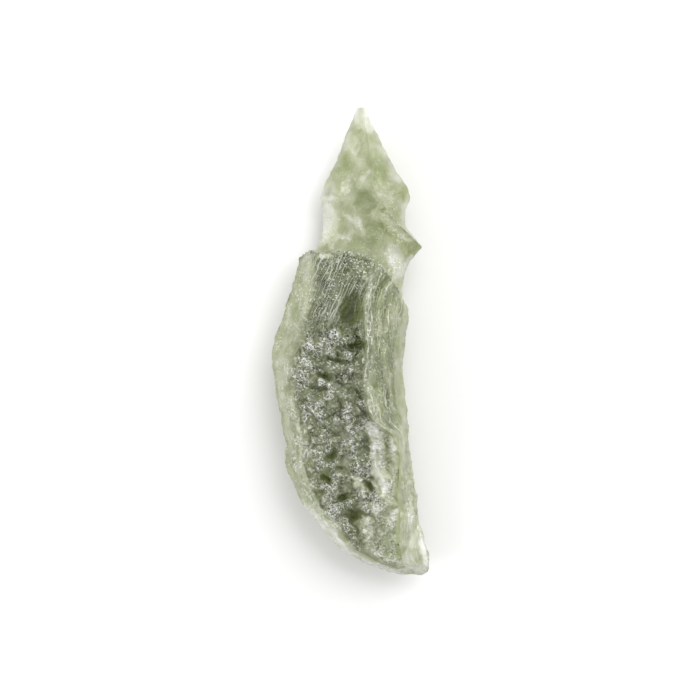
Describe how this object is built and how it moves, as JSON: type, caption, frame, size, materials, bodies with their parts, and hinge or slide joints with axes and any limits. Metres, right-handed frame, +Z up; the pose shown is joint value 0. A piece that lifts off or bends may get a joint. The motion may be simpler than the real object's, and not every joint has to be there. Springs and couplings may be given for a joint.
{
  "type": "moldavite",
  "caption": "Long piece of raw moldavite, a natural green glass: a deeply etched curved body that steps down at a ledge to a thin neck and a pointed spire.",
  "frame": {"origin": "bottom centre of the stone's bounding box, in the plane of the flat spot it rests on", "axes": "+Y runs along the stone to the tip of its spire, +X is to the right of the picture, +Z is up"},
  "size_m": [0.011, 0.0328, 0.0072],
  "materials": {
    "moldavite_glass": "natural green glass, clear inside, with a satin etched skin"
  },
  "bodies": {
    "root": {"moldavite": "moldavite_glass"}
  },
  "joints": []
}
